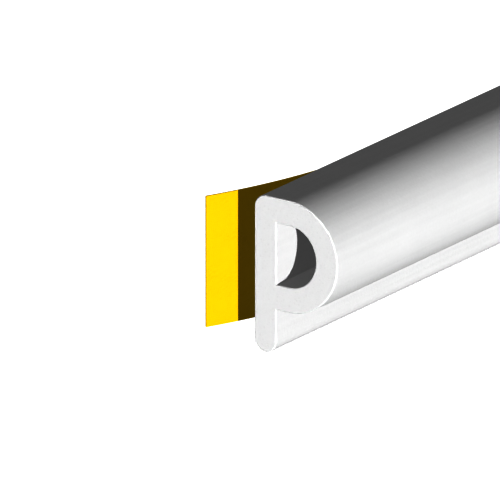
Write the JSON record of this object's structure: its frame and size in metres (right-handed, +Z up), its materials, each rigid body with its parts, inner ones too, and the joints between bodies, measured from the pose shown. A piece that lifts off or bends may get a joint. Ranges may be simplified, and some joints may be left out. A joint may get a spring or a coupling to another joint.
{
  "type": "p-strip draught excluder",
  "caption": "White rubber P-section draught seal: hollow D-shaped bulb on a flat stem, self-adhesive back, yellow release liner lifted at one cut end.",
  "frame": {"origin": "middle of the sticky face of the adhesive, which is the plane that meets the door or window frame", "axes": "+X out of that face towards the crown of the bulb, +Y along the strip away from the peeled end, +Z up from the tail to the bulb"},
  "size_m": [0.0088, 0.04, 0.009],
  "materials": {
    "white_rubber": "matte extruded skin, finely cut ends",
    "clear_adhesive": "tacky, slightly glossy film with a fine scrim",
    "yellow_liner": "smooth silicone-coated paper"
  },
  "bodies": {
    "root": {"rubber_profile": "white_rubber", "adhesive_tape": "clear_adhesive", "release_liner": "yellow_liner"}
  },
  "joints": []
}
